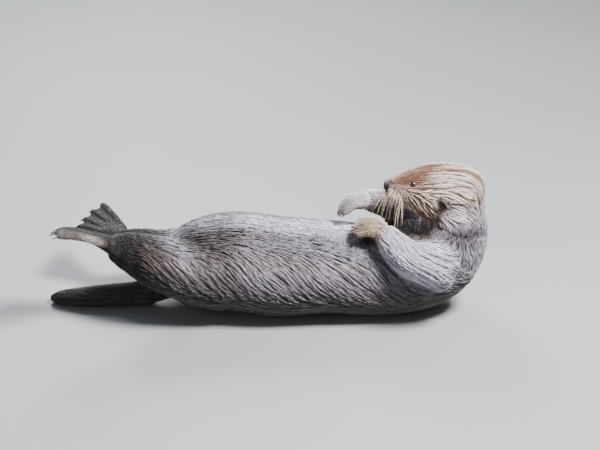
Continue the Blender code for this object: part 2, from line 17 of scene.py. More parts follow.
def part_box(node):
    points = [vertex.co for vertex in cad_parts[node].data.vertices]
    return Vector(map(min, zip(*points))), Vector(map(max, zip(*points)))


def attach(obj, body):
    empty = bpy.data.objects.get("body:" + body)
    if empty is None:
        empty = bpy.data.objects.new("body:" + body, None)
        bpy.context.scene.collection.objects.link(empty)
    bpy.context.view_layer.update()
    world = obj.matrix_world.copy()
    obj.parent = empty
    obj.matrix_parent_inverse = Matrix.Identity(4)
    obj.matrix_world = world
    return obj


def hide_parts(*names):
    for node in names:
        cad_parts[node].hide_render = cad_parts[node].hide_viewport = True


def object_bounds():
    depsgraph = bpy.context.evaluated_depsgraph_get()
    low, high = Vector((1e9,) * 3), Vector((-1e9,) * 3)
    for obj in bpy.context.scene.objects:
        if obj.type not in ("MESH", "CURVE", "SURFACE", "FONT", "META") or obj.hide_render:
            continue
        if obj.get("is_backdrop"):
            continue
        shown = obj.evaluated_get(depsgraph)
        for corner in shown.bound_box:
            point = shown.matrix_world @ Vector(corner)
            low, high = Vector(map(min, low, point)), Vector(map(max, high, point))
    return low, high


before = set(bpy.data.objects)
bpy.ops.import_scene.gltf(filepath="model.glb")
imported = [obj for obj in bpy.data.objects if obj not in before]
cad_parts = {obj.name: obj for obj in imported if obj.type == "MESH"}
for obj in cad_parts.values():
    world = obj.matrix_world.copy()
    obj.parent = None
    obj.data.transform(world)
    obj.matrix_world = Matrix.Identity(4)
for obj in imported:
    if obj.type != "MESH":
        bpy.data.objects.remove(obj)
CAD_LOW, CAD_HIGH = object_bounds()
RANDOM = np.random.default_rng(7)

SIDES = ("left", "right")
FLESH = ["head", "neck", "chest", "belly", "hips", "tail"] + [
    f"{part}_{side}" for part in ("arm", "paw", "leg", "foot", "ear") for side in SIDES
]
MILLIMETRES = 1000  # in a metre
VOXEL = 0.0025
NO_TUFTS_BELOW = 0.0012  # the flats on the floor stay bare
SKIN_OVER_FLOOR = 0.0003
COAT_OVER_FLOOR = 0.0002

# Coat of each piece: depth, lock length and lock width in mm, layers of locks, and the strength
# of each marking: cream of the head, orange, silver grizzle with painted wet sheen, and dark over
# plain brown.
COAT = {
    "head": (4.5, 25.0, 1.35, 4.2, 1.0, 0.0, 0.0, 0.0),
    "ear": (0.6, 4.5, 0.8, 1.4, 0.1, 0.0, 0.0, 0.9),
    "neck": (5.5, 30.0, 1.9, 4.0, 0.3, 0.0, 0.75, 0.0),
    "chest": (6.0, 34.0, 2.1, 4.0, 0.0, 0.0, 0.6, 0.0),
    "belly": (6.0, 37.0, 2.2, 4.2, 0.0, 0.0, 0.6, 0.0),
    "hips": (6.0, 36.0, 2.2, 4.2, 0.0, 0.0, 0.26, 0.2),
    "leg": (4.5, 28.0, 2.0, 4.0, 0.0, 0.0, 0.06, 0.65),
    "foot": (0.9, 5.5, 1.0, 0.6, 0.0, 0.0, 0.05, 1.0),
    "tail": (3.5, 22.0, 1.8, 3.4, 0.0, 0.0, 0.06, 0.5),
    # The arms' strong silver is mostly a painted highlight on wet fur.
    "arm": (4.0, 26.0, 1.8, 4.0, 0.0, 0.0, 1.3, 0.0),
    "paw": (1.0, 5.5, 0.85, 1.7, 1.0, 0.18, 0.0, 0.0),
}
MARKS = ("head", "orange", "silver", "dark")
COAT_KEYS = ("depth", "length", "width", "layers") + MARKS


# ---- places on the animal


def middle(node):
    low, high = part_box(node)
    return np.array((low + high) / 2)


def claw_middle(limb, side):
    return np.mean([middle(f"claw_{limb}_{side}_{i}") for i in range(1, 6)], axis=0)


HEAD_LOW, HEAD_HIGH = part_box("head")
HEAD_AT = np.array([HEAD_LOW.x + 0.134, (HEAD_LOW.y + HEAD_HIGH.y) / 2, HEAD_HIGH.z - 0.0535])
PITCH = math.radians(3)
COS, SIN = math.cos(PITCH), math.sin(PITCH)
# Rows: forward to the nose, the animal's left, up to the crown.
HEAD_AXES = np.array([(-COS, 0, SIN), (0, -1, 0), (SIN, 0, COS)])


def to_head(points):
    """World points in the head's frame: forward, left, up."""
    return (points - HEAD_AT) @ HEAD_AXES.T


def from_head(points):
    return np.asarray(points) @ HEAD_AXES + HEAD_AT


def ramp(x, low, high):
    """Smooth step from 0 at low to 1 at high."""
    t = np.clip((x - low) / (high - low), 0, 1)
    return t * t * (3 - 2 * t)


def span(x, low, full, fading, end):
    """Smoothly 0 below low, 1 from full to fading, and 0 again past end."""
    return ramp(x, low, full) * (1 - ramp(x, fading, end))


def bell(x, width):
    """1 where x is 0, falling off smoothly on both sides over about this width."""
    return np.exp(-((x / width) ** 2))


def unit(vectors):
    return vectors / np.maximum(np.linalg.norm(vectors, axis=-1, keepdims=True), 1e-9)


# ---- mesh helpers


def link(name, mesh):
    obj = bpy.data.objects.new(name, mesh)
    bpy.context.scene.collection.objects.link(obj)
    return obj


def link_bmesh(name, bm):
    """A smooth object of a bmesh."""
    mesh = bpy.data.meshes.new(name)
    bm.to_mesh(mesh)
    bm.free()
    mesh.shade_smooth()
    return link(name, mesh)


def read(items, field, kind=np.float32, width=3):
    """One row of numbers for each item of a mesh."""
    out = np.empty(len(items) * width, kind)
    items.foreach_get(field, out)
    return out.reshape(-1, width)


def write(items, field, values, kind=np.float32):
    items.foreach_set(field, values.astype(kind).ravel())


def coordinates(mesh):
    return read(mesh.vertices, "co").astype(float)


def set_coordinates(mesh, co):
    write(mesh.vertices, "co", co)
    mesh.update()


def vertex_normals(mesh):
    return read(mesh.vertex_normals, "vector").astype(float)


def edge_pairs(mesh):
    return read(mesh.edges, "vertices", np.int32, 2)


def triangles_of(mesh):
    """Vertex numbers and loop numbers of each triangle."""
    mesh.calc_loop_triangles()
    return [read(mesh.loop_triangles, field, np.int32) for field in ("vertices", "loops")]


def spread(values, edges, rounds, share=0.5):
    """Averages values with their neighbours' along the mesh, this many times."""
    count = len(values)
    a, b = edges.T
    degree = np.bincount(edges.ravel(), minlength=count)[:, None]
    share = np.reshape(share, (-1, 1)) / np.maximum(degree, 1)
    for _ in range(rounds):
        total = np.empty_like(values)
        for k, column in enumerate(values.T):
            total[:, k] = np.bincount(a, column[b], count) + np.bincount(b, column[a], count)
        values = values + (total - values * degree) * share
    return values


def add_colour(mesh, name, values):
    """A four-channel attribute of the points, for the materials."""
    write(mesh.attributes.new(name, "FLOAT_COLOR", "POINT").data, "color", values)


def kd_tree(points):
    tree = KDTree(len(points))
    for i, p in enumerate(points):
        tree.insert(p, i)
    tree.balance()
    return tree


def solid_tree(*names):
    """Search tree over these solids, and for each of its faces the number of its solid."""
    verts, faces, owner = [], [], []
    for number, name in enumerate(names):
        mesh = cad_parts[name].data
        base = len(verts)
        verts += [v.co.copy() for v in mesh.vertices]
        faces += [[base + i for i in poly.vertices] for poly in mesh.polygons]
        owner += [number] * len(mesh.polygons)
    return BVHTree.FromPolygons(verts, faces), owner


def nearest_node(points):
    """For each point, the number in FLESH of the piece whose surface is nearest."""
    tree, owner = solid_tree(*FLESH)
    return np.array([owner[tree.find_nearest(Vector(p))[2]] for p in points])


def distance_to_node(points, name):
    """Distance from each point to a solid's surface."""
    tree = solid_tree(name)[0]
    return np.array([tree.find_nearest(Vector(p))[3] for p in points])


def distance_to_line(points, line):
    """Shortest distance from each point to a polyline."""
    best = np.full(len(points), np.inf)
    for a, b in zip(line, line[1:]):
        length_squared = max((b - a) @ (b - a), 1e-12)
        along = np.clip(((points - a) @ (b - a)) / length_squared, 0, 1)
        best = np.minimum(best, np.linalg.norm(points - (a + along[:, None] * (b - a)), axis=1))
    return best


def owned(owner, *names):
    """1 where the nearest solid has one of these names, with or without its side, else 0."""
    return np.array([float(n in names or n.split("_")[0] in names) for n in FLESH])[owner]


# ---- skin


def body_hull():
    """All flesh, with its eye and nose sockets filled, as one even skin."""
    bm = bmesh.new()
    for name in FLESH + ["nose", "eye_left", "eye_right"]:
        bm.from_mesh(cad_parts[name].data)
    obj = link_bmesh("skin", bm)
    remesh = obj.modifiers.new("even", "REMESH")
    remesh.mode = "VOXEL"
    remesh.voxel_size = VOXEL
    graph = bpy.context.evaluated_depsgraph_get()
    obj.data = bpy.data.meshes.new_from_object(obj.evaluated_get(graph))
    obj.modifiers.clear()
    keep_largest(obj.data)
    return obj


def keep_largest(mesh):
    """Drops what the remesh left inside the thin cuts."""
    a, b = edge_pairs(mesh).T
    label, last = np.arange(len(mesh.vertices)), None
    while last is None or (label != last).any():
        last = label.copy()
        low = np.minimum(last[a], last[b])
        np.minimum.at(label, a, low)
        np.minimum.at(label, b, low)
        label = label[label]
    stray = np.flatnonzero(label != np.bincount(label).argmax())
    bm = bmesh.new()
    bm.from_mesh(mesh)
    bm.verts.ensure_lookup_table()
    bmesh.ops.delete(bm, geom=[bm.verts[i] for i in stray], context="VERTS")
    bm.to_mesh(mesh)
    bm.free()


def refine_face(obj):
    """Splits the faces of muzzle and ears, for shaping."""
    bm = bmesh.new()
    bm.from_mesh(obj.data)
    ears = [Vector(middle(f"ear_{side}")) for side in SIDES]
    for reach, ear_reach in ((0.05, 0.02), (0.078, 0.017)):
        near = []
        for edge in bm.edges:
            co = (edge.verts[0].co + edge.verts[1].co) / 2
            forward, _, up = to_head(np.array(co))
            on_ear = min((co - ear).length for ear in ears) < ear_reach
            if on_ear or (forward > reach and up > -0.055):
                near.append(edge)
        bmesh.ops.subdivide_edges(bm, edges=near, cuts=1, use_grid_fill=True, smooth=0.0)
    bmesh.ops.triangulate(bm, faces=bm.faces)
    bm.to_mesh(obj.data)
    bm.free()


def round_ears(co, edges, owner):
    """Lays the fine skin of the ears on their solids, and evens it."""
    for side in SIDES:
        tree = solid_tree(f"ear_{side}")[0]
        for i in np.flatnonzero(owned(owner, f"ear_{side}")):
            co[i] = tree.find_nearest(Vector(co[i]))[0]
    near = spread(owned(owner, "ear")[:, None], edges, 6)[:, 0]
    return spread(co, edges, 8, 0.5 * ramp(near, 0.05, 0.4))


# Half the mouth in the head's frame, from below the nose to the corner.
MOUTH = np.array(
    [
        (0.127, 0.0, -0.017), (0.1225, 0.006, -0.0215), (0.113, 0.013, -0.0265),
        (0.099, 0.0195, -0.029), (0.084, 0.0255, -0.0285), (0.072, 0.03, -0.026),
    ]
)

EAR = to_head(middle("ear_left"))
EAR_WAY, EAR_OUT = np.array((-0.62, 0.62, -0.3)) * 0.006, np.array((0.7, 0.7, -0.1)) * 0.005
FOLDS = (  # strength and half width of each skin fold, and half of its line in the head's frame
    (0.75, 0.0026, [  # over the roll of the neck
        (0.018, 0.056, -0.005), (0.002, 0.054, -0.005), (-0.009, 0.053, -0.004),
        (-0.019, 0.052, -0.01), (-0.026, 0.052, -0.019), (-0.031, 0.053, -0.03),
    ]),
    (1.0, 0.0044, [  # under the roll, and across the nape
        (0.044, 0.05, -0.036), (0.036, 0.046, -0.044), (0.03, 0.047, -0.056),
        (0.019, 0.056, -0.06), (0.008, 0.062, -0.063), (-0.003, 0.066, -0.067),
        (-0.02, 0.067, -0.072), (-0.041, 0.057, -0.073), (-0.054, 0.05, -0.07),
        (-0.071, 0.005, -0.081), (-0.072, 0.0, -0.081),
    ]),
    (0.35, 0.002, [  # behind the crown
        (0.012, 0.049, 0.023), (-0.001, 0.051, 0.017), (-0.012, 0.052, 0.01),
        (-0.018, 0.051, 0.002),
    ]),
    (0.65, 0.003, [  # before the ear
        (0.06, 0.053, -0.01), (0.048, 0.055, -0.015), (0.036, 0.056, -0.017),
        (0.024, 0.056, -0.018),
    ]),
    (0.65, 0.0034, [(0.03, 0.055, -0.02), (0.036, 0.051, -0.03), (0.04, 0.05, -0.038)]),
    (0.85, 0.003, [EAR - EAR_WAY + EAR_OUT, EAR + EAR_OUT, EAR + 0.8 * EAR_WAY + EAR_OUT]),
)


class Fields(dict):
    """Values by name at every skin vertex, changed where a mask says so, from 0 to 1."""

    def add(self, mask, **amounts):
        for key, amount in amounts.items():
            self[key] = self[key] + amount * mask

    def fade(self, mask, **shares):
        for key, share in shares.items():
            self[key] = self[key] * (1 - share * mask)

    def toward(self, mask, **goals):
        for key, goal in goals.items():
            self[key] = self[key] + (goal - self[key]) * mask

    def limit(self, **tops):
        for key, top in tops.items():
            self[key] = np.minimum(self[key], top)


def mark_head(f, co, owner):
    """Short hair on the muzzle, golden brown and cream elsewhere, painted highlight on the crown.
    """
    forward, left, up = to_head(co).T
    on_head = owned(owner, "head", "ear")
    muzzle = on_head * ramp(forward, 0.066, 0.104)
    f.toward(muzzle, depth=1.1, length=5.5 + 5.0 * ramp(-up, 0.002, 0.012), width=0.85, layers=1.5)
    # Golden brown over the bridge, round the eyes, down the cheeks and along the crown's middle.
    level = up - 0.008 - 0.2 * (0.125 - forward)
    bridge = span(forward, 0.03, 0.065, 0.115, 0.125) * ramp(level, 0.0, 0.01)
    cheek = span(forward, -0.02, 0.03, 0.07, 0.095) * ramp(-up, -0.015, 0.02)
    crown = (1 - ramp(abs(left), 0.012, 0.028)) * ramp(up, 0.02, 0.045)
    crown *= ramp(forward, -0.03, 0.05)
    f.add(on_head, orange=np.clip(0.95 * bridge + 0.5 * cheek + 0.75 * crown, 0, 1))
    # The sides of the crown are painted nearly white as a highlight, and the whisker pads are
    # pale.
    crown_highlight = on_head * ramp(-forward, -0.086, -0.03) * ramp(up, -0.006, 0.018)
    crown_highlight *= ramp(abs(left), 0.01, 0.026)
    f.fade(crown_highlight, head=0.42, orange=0.85)
    f.add(crown_highlight, silver=0.9)
    pads = on_head * ramp(forward, 0.084, 0.104) * ramp(-up, -0.008, 0.004)
    f.fade(pads, head=0.3, orange=0.8)
    f.add(pads, silver=1.3)
    f.add(on_head * cheek, silver=0.35)


def mark_trunk(f, co, owner):
    """Silver with painted sheen on what faces up when the animal floats, brown on the back it lies
    on.
    """
    height = (co[:, 2] - CAD_LOW.z) / (CAD_HIGH.z - CAD_LOW.z)
    across = abs(co[:, 1] - HEAD_AT[1])
    trunk = owned(owner, "chest", "belly", "hips")
    # Silver fades towards the floor everywhere: painted sheen that lightens the upper parts.
    f["silver"] *= 0.12 + 0.88 * ramp(height, 0.1, 0.42)
    # A pale ridge of painted highlight runs down the belly's top between two bands of painted
    # shade.
    ridge = 1 - ramp(across, 0.024, 0.048)
    f.fade(trunk * (1 - ridge), silver=0.42)
    f.add(trunk * ridge * ramp(height, 0.42, 0.5), silver=0.3)
    painted_shade_band = trunk * bell(across - 0.053, 0.021) * ramp(height, 0.4, 0.5)
    f.fade(painted_shade_band * (1 - ramp(co[:, 0] - middle("belly")[0], -0.13, -0.03)), silver=0.6)
    f.add(trunk * ramp(across, 0.085, 0.11) * ramp(height, 0.36, 0.44), orange=0.11)
    # Each groin has a pale streak, a painted highlight, between darker hair.
    rear = np.maximum(trunk, owned(owner, "leg"))
    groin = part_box("hips")[0].x + 0.041 + 0.035 * ramp(across, 0.045, 0.115)
    highlight_streak = bell(co[:, 0] - groin, 0.011 + 0.009 * ramp(across, 0.05, 0.11))
    highlight_streak *= rear * ramp(height, 0.38, 0.48)
    before = trunk * bell(co[:, 0] - groin - 0.04, 0.02) * ramp(height, 0.4, 0.52)
    haunch = rear * ramp(groin - co[:, 0], 0.014, 0.034)
    f.fade(haunch, silver=0.5)
    f.add(haunch, dark=0.38)
    f.fade(before, silver=0.45)
    f.add(highlight_streak, silver=0.62)
    f.fade(highlight_streak, dark=0.8)
    # The throat between the arms is short-haired, and darkened with painted shade.
    forward, left, up = to_head(co).T
    throat = ramp(forward, -0.01, 0.02) * (1 - ramp(abs(left), 0.04, 0.062))
    throat *= ramp(-up, 0.045, 0.07) * owned(owner, "chest", "neck", "arm")
    f.fade(throat, silver=0.9, head=0.6, length=0.35)
    f.add(throat, dark=0.5)


def mark_limbs(f, co, owner):
    """Painted highlight on the right paw and on the left hind foot's heel and outer edge, painted
    shade on the right hind foot.
    """
    far_paw, far_foot = owned(owner, "paw_right"), owned(owner, "foot_right")
    # The right forepaw: painted highlight.
    f.fade(far_paw, head=0.8, orange=1.0)
    f.add(far_paw, silver=1.3)
    # The right hind foot: painted shade.
    f.fade(far_foot, silver=0.6, head=0.6)
    f.add(far_foot, dark=0.45)
    # The left hind foot: a painted highlight along its outer edge, broken near the heel, fading
    # towards the toes.
    outer = owned(owner, "foot_left") * ramp(middle("foot_left")[1] + 0.012 - co[:, 1], 0.0, 0.03)
    heel = np.linalg.norm(co - middle("leg_left") - (-0.036, -0.046, 0.012), axis=1)
    outer *= (1 - 0.75 * bell(heel - 0.02, 0.005)) * (1 - 0.72 * ramp(heel, 0.062, 0.1))
    f.add(outer, silver=0.72, head=0.34, dark=-0.75)


def mark_neck(f, co, owner):
    """The roll behind the ears is pale lilac as painted highlight, and dark blue-grey towards its
    fold as painted shade.
    """
    forward, _, up = to_head(co).T
    nape = owned(owner, "head", "ear", "neck")
    roll = nape * (1 - ramp(forward, 0.014, 0.04)) * (1 - ramp(up, -0.014, 0.004))
    # Painted highlight: the roll is made pale lilac.
    f.toward(roll * ramp(up, -0.085, -0.05), silver=1.35)
    f.fade(roll, head=0.8, orange=0.85)
    # Painted shade: a dark band along the bottom of the roll, at its fold.
    painted_shade_band = nape * bell(up + 0.06, 0.0125)
    painted_shade_band *= ramp(-forward, -0.014, 0.004) * ramp(forward, -0.066, -0.048)
    f.fade(painted_shade_band, silver=0.92, head=1.0)
    f.add(painted_shade_band, dark=0.6)
    sides = nape * ramp(-forward, 0.02, 0.04) * span(-up, 0.0, 0.02, 0.058, 0.075)
    f.fade(sides, silver=0.3)
    f["head"] = np.clip(f["head"], 0, 1)


def trim_coat(f, co, owner):
    """Keeps long hair off feet, paws, eyes, ears and nose pad, and marks what is round them."""
    for side in SIDES:
        away = distance_to_node(co, f"foot_{side}")
        f.limit(length=5.5 + 450 * away, depth=0.9 + 110 * away)
        away = distance_to_node(co, f"paw_{side}")
        f.limit(length=5.0 + 500 * away, depth=1.0 + 95 * away)
        if side == "left":
            wrist = owned(owner, "arm") * (1 - ramp(away, 0.0, 0.034))
            f.toward(0.8 * wrist, **dict(zip(MARKS, COAT["paw"][-len(MARKS) :])))
        away = np.linalg.norm(co - middle(f"eye_{side}"), axis=1)
        f.toward(1 - ramp(away, 0.009, 0.018), depth=1.9, width=0.7, layers=2.2)
        f.limit(length=2.6 + 700 * np.maximum(away - 0.009, 0))
        away = distance_to_node(co, f"ear_{side}")
        on_ear = 1 - ramp(away, 0.0015, 0.0045)
        f.toward(on_ear, **dict(zip(COAT_KEYS, COAT["ear"])))
        ear = middle(f"ear_{side}")
        # Painted shade under the ear: the hair just below it turns golden brown.
        shade_under_ear = (1 - ramp(away, 0.002, 0.015)) * ramp(ear[2] - co[:, 2], -0.004, 0.01)
        f["orange"] = np.maximum(f["orange"], 0.9 * shade_under_ear * (1 - on_ear))
        behind = away + 0.02 * ramp(co[:, 0] - ear[0], 0.0, 0.01)
        f.limit(length=4.0 + 800 * np.maximum(behind - 0.002, 0))
    low, high = (np.array(corner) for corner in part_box("nose"))
    away = np.linalg.norm(np.maximum(np.maximum(low - co, co - high), 0), axis=1)
    hidden = 2.4 + 5.0 * ramp(middle("nose")[0] - co[:, 0], 0.0, 0.007)
    f.toward(1 - ramp(away, 0.0, 0.003), depth=hidden)
    rim = owned(owner, "head", "ear") * (1 - ramp(away, 0.0008, 0.005))
    f["dark"] = np.maximum(f["dark"], 0.9 * rim)
    f.fade(rim, head=0.8)


def coat_fields(co, edges, owner):
    """Depth, lock size and markings at each skin vertex, blended where pieces meet."""
    rows = np.array([COAT[name.split("_")[0]] for name in FLESH])
    f = Fields(zip(COAT_KEYS, spread(rows[owner], edges, 25).T.copy()))
    for change in (mark_head, mark_trunk, mark_limbs, mark_neck, trim_coat):
        change(f, co, owner)
    for key in COAT_KEYS[:3]:
        f[key] /= MILLIMETRES
    return f


def sculpt_face(co, normals, fields):
    """The mouth, the groove under the nose, the whisker pads and the folds of the skin."""
    points = to_head(co)
    points[:, 1] = abs(points[:, 1])
    forward, left, up = points.T
    mouth = distance_to_line(points, MOUTH)
    groove = 0.0022 * bell(mouth, 0.0017)
    split = 0.0014 * bell(left, 0.0014) * ramp(forward, 0.112, 0.122)
    split *= span(-up, 0.004, 0.01, 0.016, 0.02)
    pad = bell(forward - 0.108, 0.016) * bell(left - 0.017, 0.012) * bell(up + 0.011, 0.01)
    fields["mouth"] = bell(mouth, 0.0016) * (forward > 0.06)
    fields.limit(length=0.0025 + 0.75 * mouth)
    fold = np.zeros(len(co))
    tree = kd_tree(points)
    for strength, width, line in FOLDS:
        # The line is laid on the surface, so that only its run across the skin counts.
        steps = np.linspace(0, len(line) - 1, 24)
        bent = [np.interp(steps, range(len(line)), values) for values in zip(*line)]
        laid = points[[tree.find(p)[1] for p in zip(*bent)]]
        fold = np.maximum(fold, strength * bell(distance_to_line(points, laid), width))
    fields["fold"] = fold
    # Painted shade in the folds: the hair in them is darkened and loses its cream.
    fields["dark"] = np.maximum(fields["dark"], 1.1 * fold**0.7)
    fields.fade(np.clip(1.1 * fold**0.7, 0, 1), head=1.0)
    fields.fade(fold, length=0.65)
    return co + normals * (0.0016 * pad - groove - split - 0.0046 * fold)[:, None]


def make_skin():
    """The skin inside the solids, its edges, the fields of the coat, and each vertex's solid."""
    obj = body_hull()
    refine_face(obj)
    mesh = obj.data
    co, edges = coordinates(mesh), edge_pairs(mesh)
    owner = nearest_node(co)
    face = ramp(to_head(co)[:, 0], 0.055, 0.075) * owned(owner, "head")
    soft = 0.5 * (1 - 0.75 * owned(owner, "foot", "paw", "ear")) * (1 - 0.6 * face)
    co = spread(co, edges, 10, soft)
    co = round_ears(co, edges, owner)
    set_coordinates(mesh, co)
    fields = coat_fields(co, edges, owner)
    co = co - vertex_normals(mesh) * fields["depth"][:, None]
    co = spread(co, edges, 2, soft * 0.6)
    set_coordinates(mesh, co)
    co = sculpt_face(co, vertex_normals(mesh), fields)
    co[:, 2] = np.maximum(co[:, 2], CAD_LOW.z + SKIN_OVER_FLOOR)
    set_coordinates(mesh, co)
    mesh.shade_smooth()
    return obj, edges, fields, owner


# ---- the lie of the hair


def along_arm(co, side):
    """Direction from shoulder to elbow to wrist, at each point."""
    low, high = (np.array(corner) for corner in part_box(f"arm_{side}"))
    size, paw, left = high - low, middle(f"paw_{side}"), side == "left"
    inner = HEAD_AT[1] + (-0.07 if left else 0.07)
    outer = low[1] + 0.038 if left else high[1] - 0.038
    shoulder = np.array([low[0] + 0.8 * size[0], inner, low[2] + 0.27 * size[2]])
    elbow = np.array([low[0] + 0.42 * size[0], outer, low[2] + 0.57 * size[2]])
    wrist = np.array([low[0] + 0.02, paw[1], paw[2]])
    upper, fore = unit(elbow - shoulder), unit(wrist - elbow)
    bend = ramp((co - elbow) @ unit(upper + fore), -0.022, 0.022)[:, None]
    return upper * (1 - bend) + fore * bend


def lie_of_hair(co, normals, edges, owner):
    """Direction of the hair at each skin vertex: nose to nape, down the neck, then to the tail."""
    forward, _, up = to_head(co).T
    nx, ny, nz = normals.T
    nape = 90 * ramp(nx, 0.15, 0.85)
    cheek = 52 * ramp(-up, -0.02, 0.012) * ramp(forward, -0.035, 0.05)
    muzzle = 66 * ramp(forward, 0.055, 0.095) * ramp(-up, -0.016, 0.004)
    drop = np.radians(np.maximum(nape, np.maximum(cheek, muzzle)))
    throat = ramp(nz, 0.15, 0.6)
    climb = ramp(abs(ny), 0.25, 0.85) * ramp(nz, -0.75, 0.1)
    level = np.zeros(len(co))
    ways = {
        "head": np.stack([np.cos(drop), level, -np.sin(drop)], axis=1),
        "neck": np.stack([0.1 - 1.6 * throat, level, level - 1], axis=1),
        "tail": np.array((-1.0, 0.0, 0.0)),
    }
    for name in ("chest", "belly", "hips"):
        ways[name] = np.stack([level - 1, level, climb], axis=1)
    for side, outward in (("left", -1), ("right", 1)):
        heel, toes = middle(f"leg_{side}"), claw_middle("hind", side)
        ways[f"arm_{side}"] = along_arm(co, side)
        ways[f"paw_{side}"] = claw_middle("fore", side) + (0, 0, -0.01) - co
        ways[f"leg_{side}"] = middle(f"foot_{side}") + (-0.03, 0, 0) - co
        ways[f"foot_{side}"] = unit(co - heel) + unit(toes - heel)
        ways[f"ear_{side}"] = np.array((0.5, 0.6 * outward, -0.5))
    flow = np.zeros_like(co)
    for number, name in enumerate(FLESH):
        here = owner == number
        flow[here] = unit(np.broadcast_to(ways[name], co.shape)[here])
    for rounds in [0] + [4] * 12:
        flow = spread(flow, edges, rounds)
        flow = unit(flow - normals * (flow * normals).sum(axis=1, keepdims=True))
    # Slow and quick waves turn the hair a little to and fro.
    turn = [
        noise.noise(Vector(p * 14.0)) + 0.5 * noise.noise(Vector(p * 60.0) + Vector((9, 3, 1)))
        for p in co
    ]
    turn = (np.array(turn) * math.radians(15))[:, None]
    return flow * np.cos(turn) + np.cross(normals, flow) * np.sin(turn)


# ---- coat

# A lock is three-cornered rings and a tip: their places along it, widths and heights.
RINGS = np.array([0.0, 0.32, 0.66, 1.0])
RING_WIDTH = np.array([0.72, 1.0, 0.7])
RING_RISE = np.array([0.0, 0.62, 0.97, 0.92])
TRIANGLES_PER_LOCK = 6 * (len(RING_WIDTH) - 1) + 3
ROOT_DEPTH = 0.0006  # below the skin
TOP_SHARE = 0.9  # of the coat's depth, reached by a clump's middle
LOCK_COVER = 0.6  # of a lock's length times width
UNDERSIDE_SHARE = 0.55  # of the locks, where the skin faces the floor
ROOT_MARKS = 0.4  # how much a lock keeps of its root's colours
WALK_STEPS = 3
CLUMP_SPACING = 0.006
CLUMP_LENGTH = 0.034  # of the locks whose clumps have their full spacing
CLUMP_STRETCH = 6.0
CLUMPS_TRIED = 14
PATCH = 0.003  # size of a lock on the coat's map
STRANDS_ACROSS, STRANDS_ALONG = 1000, 60  # finer across a lock than along it
PIECE_TRIANGLES = 190_000


def morton(points):
    """Order that keeps neighbours in space near each other in the list."""
    q = ((points - points.min(axis=0)) / np.ptp(points, axis=0).max() * 1023).astype(np.int64)
    code = np.zeros(len(points), np.int64)
    for bit in range(10):
        for axis in range(3):
            code |= ((q[:, axis] >> bit) & 1) << (3 * bit + axis)
    return np.argsort(code)


def sow(co, tris, weight):
    """Even, random places on the skin: triangle numbers and shares of their corners."""
    order = morton(co[tris].mean(axis=1))
    running = np.cumsum(weight[order])
    count = int(running[-1])
    at = np.arange(count) + RANDOM.random(count)
    pick = order[np.searchsorted(running, np.minimum(at, running[-1] * (1 - 1e-9)))]
    r = np.sqrt(RANDOM.random(count))
    s = RANDOM.random(count)
    return pick, np.stack([1 - r, r * (1 - s), r * s], axis=1)


def face_fields(co, tris, fields, flow, normals):
    """The fields averaged over each triangle."""
    out = {key: values[tris].mean(axis=1) for key, values in fields.items()}
    out["flow"] = unit(flow[tris].mean(axis=1))
    out["normal"] = unit(normals[tris].mean(axis=1))
    a, b, c = (co[tris[:, k]] for k in range(3))
    out["area"] = np.linalg.norm(np.cross(b - a, c - a), axis=1) / 2
    return out


def bare(points, mouth):
    """Where no lock may root: on the floor flats, eyes, nose pad and mouth."""
    out = (points[:, 2] < CAD_LOW.z + NO_TUFTS_BELOW) | (mouth > 0.35)
    for side in SIDES:
        centre, axis, nose_way, up_way = eye_axes(side)
        apart = points - centre
        oval = ((apart @ nose_way) / 0.0064) ** 2 + ((apart @ up_way) / 0.0054) ** 2
        out |= (oval < 1) & (apart @ axis > 0)
    low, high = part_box("nose")
    share = (points - middle("nose")) / (np.array(high - low) / 2 + 0.0003)
    out |= (share**2).sum(axis=1) < 1
    return out


def clump_pull(places, flow, normal, spacing, room):
    """Sideways offset from each lock to the middle line of the clump it sticks to."""
    wanted = RANDOM.random(len(places)) < room / (CLUMP_STRETCH * spacing**2)
    centres = places[wanted]
    tree = kd_tree(centres)
    found = np.array([[hit[1] for hit in tree.find_n(p, CLUMPS_TRIED)] for p in places])
    side = np.cross(normal, flow)
    apart = centres[found] - places[:, None, :]
    sideways, ahead, off = ((apart * way[:, None]).sum(axis=2) for way in (side, flow, normal))
    cost = sideways**2 + (ahead / CLUMP_STRETCH) ** 2 + off**2
    rows, best = np.arange(len(places)), cost.argmin(axis=1)
    shift = np.clip(sideways[rows, best], -0.75 * spacing, 0.75 * spacing)
    return shift, found[rows, best]


def walk(tree, face, places, faces, lengths):
    """Points and face numbers along each lock as it follows the hair over the skin."""
    line, hit = [places], [faces]
    step = lengths[:, None] / WALK_STEPS
    for _ in range(WALK_STEPS):
        ahead = line[-1] + face["flow"][hit[-1]] * step
        near, _, number, _ = zip(*(tree.find_nearest(p) for p in ahead.tolist()))
        line.append(np.array(near))
        hit.append(np.array(number))
    return np.stack(line, axis=1), np.stack(hit, axis=1)


